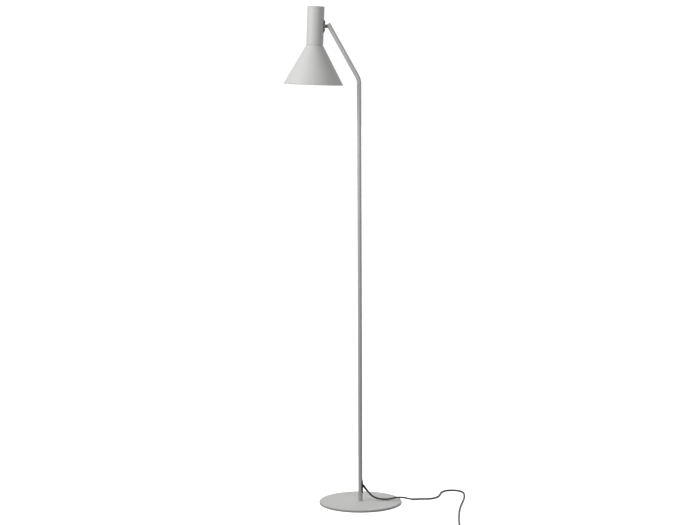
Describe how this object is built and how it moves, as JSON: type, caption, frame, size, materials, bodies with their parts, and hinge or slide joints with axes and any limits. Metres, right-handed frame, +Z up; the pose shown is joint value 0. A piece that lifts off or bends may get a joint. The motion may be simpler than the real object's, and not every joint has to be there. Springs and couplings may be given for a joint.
{
  "type": "floor lamp",
  "caption": "Slim floor lamp with a round disc foot, a thin bent pole, a conical metal shade on a swivel and tilt joint, and a mains cord with a foot switch.",
  "frame": {"origin": "centre of the foot's underside, on the pole's axis", "axes": "+Z up along the pole; the arm and head lean towards -X; the cord leaves the pole towards +X"},
  "size_m": [0.5486, 0.5895, 1.5],
  "materials": {
    "painted_steel": "matte light grey powder coat",
    "dark_plastic": "matte dark grey moulded plastic",
    "cord_sheath": "dark grey flexible sheath",
    "zinc_steel": "bright zinc",
    "black_steel": "black zinc",
    "rubber_pad": "matte",
    "brass_contact": "plain",
    "holder_white": "heat resistant moulding",
    "bulb_white": "opal diffuser",
    "nickel_cap": "nickel plated"
  },
  "bodies": {
    "stand": {"foot_plate": "painted_steel", "foot_pad": "rubber_pad", "foot_washer": "zinc_steel", "foot_bolt": "zinc_steel", "pole_foot_plug": "zinc_steel", "pole": "painted_steel", "arm_end_plug": "painted_steel", "stem_grub_screw": "zinc_steel", "arm_spacer": "dark_plastic", "cord_grommet": "dark_plastic", "strain_relief": "dark_plastic", "pole_cable": "cord_sheath", "power_cord": "cord_sheath", "power_cord_tail": "cord_sheath", "cord_coil": "cord_sheath", "cord_tie": "dark_plastic", "plug_body": "dark_plastic", "plug_pins": "nickel_cap", "switch_base": "dark_plastic", "switch_cover": "dark_plastic", "switch_screws": "zinc_steel", "switch_contacts": "holder_white"},
    "swivel": {"swivel_stem": "dark_plastic"},
    "head": {"head_bracket": "dark_plastic", "pivot_screw": "black_steel", "pivot_nut": "black_steel", "friction_washers": "dark_plastic", "head_housing": "painted_steel", "head_cap": "painted_steel", "shade_cone": "painted_steel", "holder_arm": "zinc_steel", "bracket_screws": "zinc_steel", "holder_nipple": "brass_contact", "nipple_nuts": "zinc_steel", "lamp_holder": "holder_white", "shade_ring": "holder_white", "holder_shell": "brass_contact", "holder_contact": "brass_contact", "bulb_cap": "nickel_cap", "bulb_glass": "bulb_white", "head_cable": "cord_sheath"},
    "foot_button": {"switch_button": "dark_plastic"}
  },
  "joints": [
    {"name": "head_swivel", "type": "hinge", "parent": "stand", "child": "swivel", "pos_m": [-0.1013, 0, 1.4406], "axis": [1, 0, 0], "range_deg": [-90, 90]},
    {"name": "head_tilt", "type": "hinge", "parent": "swivel", "child": "head", "pos_m": [-0.1013, 0, 1.4406], "axis": [0, 1, 0], "range_deg": [-8, 30]},
    {"name": "button_press", "type": "slide", "parent": "stand", "child": "foot_button", "axis": [0, 0, -1], "range_m": [0, 0.0025], "stiffness_N_per_m": 900}
  ]
}
